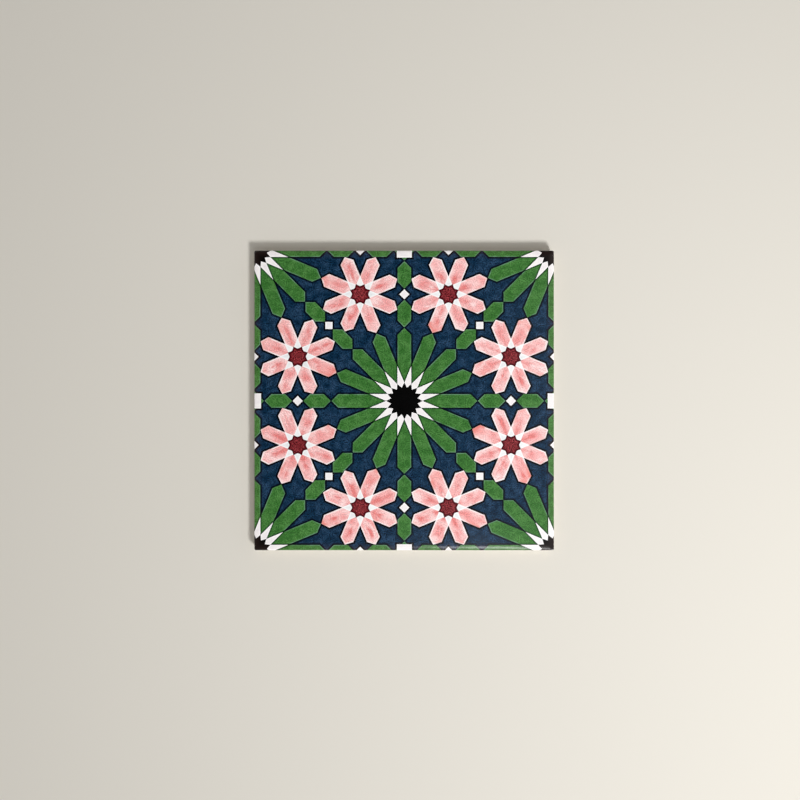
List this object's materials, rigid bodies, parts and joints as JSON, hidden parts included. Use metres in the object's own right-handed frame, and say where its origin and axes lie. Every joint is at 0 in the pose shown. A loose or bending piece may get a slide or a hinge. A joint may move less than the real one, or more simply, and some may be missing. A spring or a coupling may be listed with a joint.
{
  "type": "patterned porcelain tile",
  "caption": "Square glazed porcelain tile with a printed star-and-rosette pattern, a softly rolled face edge, drafted sides and a ribbed back for adhesive.",
  "frame": {"origin": "centre of the back, on the plane of the rib tops that the tile lies on", "axes": "+Z out of the decorated face, X and Y along the sides, +X to the right and +Y up in the picture"},
  "size_m": [0.2, 0.2, 0.009],
  "materials": {
    "glazed_porcelain": "satin"
  },
  "bodies": {
    "root": {"tile": "glazed_porcelain"}
  },
  "joints": []
}
